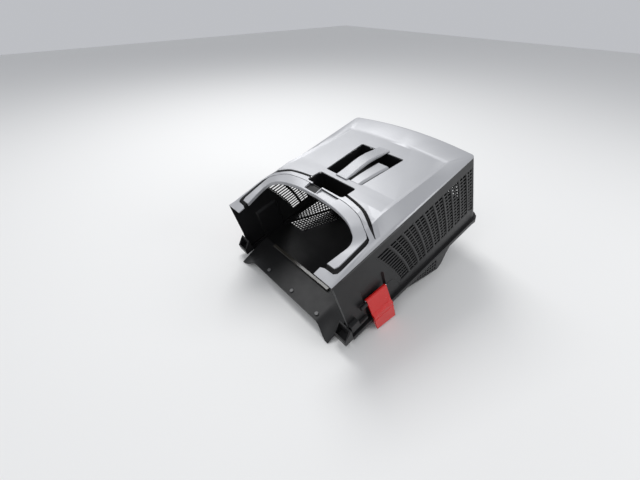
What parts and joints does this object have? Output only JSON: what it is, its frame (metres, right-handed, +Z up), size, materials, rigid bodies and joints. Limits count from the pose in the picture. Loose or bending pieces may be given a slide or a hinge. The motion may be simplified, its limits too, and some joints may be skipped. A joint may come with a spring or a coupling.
{
  "type": "lawn dethatcher collection box",
  "caption": "Grass collection box of an electric lawn dethatcher: hinged ventilated hood on a tub, with a wide mouth, carrying handle and side clips.",
  "frame": {"origin": "middle of the bounding box's base, on the surface the box stands on", "axes": "+X to the right seen from the mouth side looking in, +Y from the mouth to the rear, +Z up; the box stands nose down by 15 degrees"},
  "size_m": [0.53, 0.6386, 0.3662],
  "materials": {
    "silver": "silver grey moulded plastic, satin",
    "black": "black moulded plastic, satin",
    "seal": "black rubber, matte",
    "red": "red moulded plastic, glossy",
    "steel": "bright steel pin"
  },
  "bodies": {
    "tub": {"hinge_fork_left": "black", "hinge_fork_right": "black", "hinge_pin_left": "steel", "hinge_pin_right": "steel", "hook_left": "black", "hook_right": "black", "lip_boss_1": "black", "lip_boss_2": "black", "lip_boss_3": "black", "lip_plate": "black", "lip_rail": "black", "lower_tub": "black", "tub_mesh_left": "black", "tub_mesh_right": "black", "tub_side_mesh_left": "black", "tub_side_mesh_right": "black"},
    "hood": {"clip_pin_left": "steel", "clip_pin_right": "steel", "finger_ramp": "silver", "front_pocket": "black", "grille_left": "black", "grille_rear": "black", "grille_right": "black", "handle_grip": "silver", "handle_well": "black", "hanger_bar_left": "black", "hanger_bar_right": "black", "hanger_block_left": "black", "hanger_block_right": "black", "hinge_tongue_left": "black", "hinge_tongue_right": "black", "leg_seal_left": "seal", "leg_seal_right": "seal", "mouth_rim": "silver", "mouth_seal_left": "seal", "mouth_seal_right": "seal", "pin_boss_left": "black", "pin_boss_right": "black", "seal_channel_left": "black", "seal_channel_right": "black", "top_cover": "silver", "upper_body": "black"},
    "right_clip": {"clip_right": "red"},
    "left_clip": {"clip_left": "red"}
  },
  "joints": [
    {"name": "hood_hinge", "type": "hinge", "parent": "tub", "child": "hood", "pos_m": [0, 0.31335, 0.14453], "axis": [-1, 0, 0], "range_deg": [0, 70]},
    {"name": "clip_right_hinge", "type": "hinge", "parent": "hood", "child": "right_clip", "pos_m": [0.2325, -0.21707, 0.1111], "axis": [-0.0439, -0.984, -0.1728], "range_deg": [0, 70]},
    {"name": "clip_left_hinge", "type": "hinge", "parent": "hood", "child": "left_clip", "pos_m": [-0.2325, -0.21707, 0.1111], "axis": [-0.0439, 0.984, 0.1728], "range_deg": [0, 70]}
  ]
}
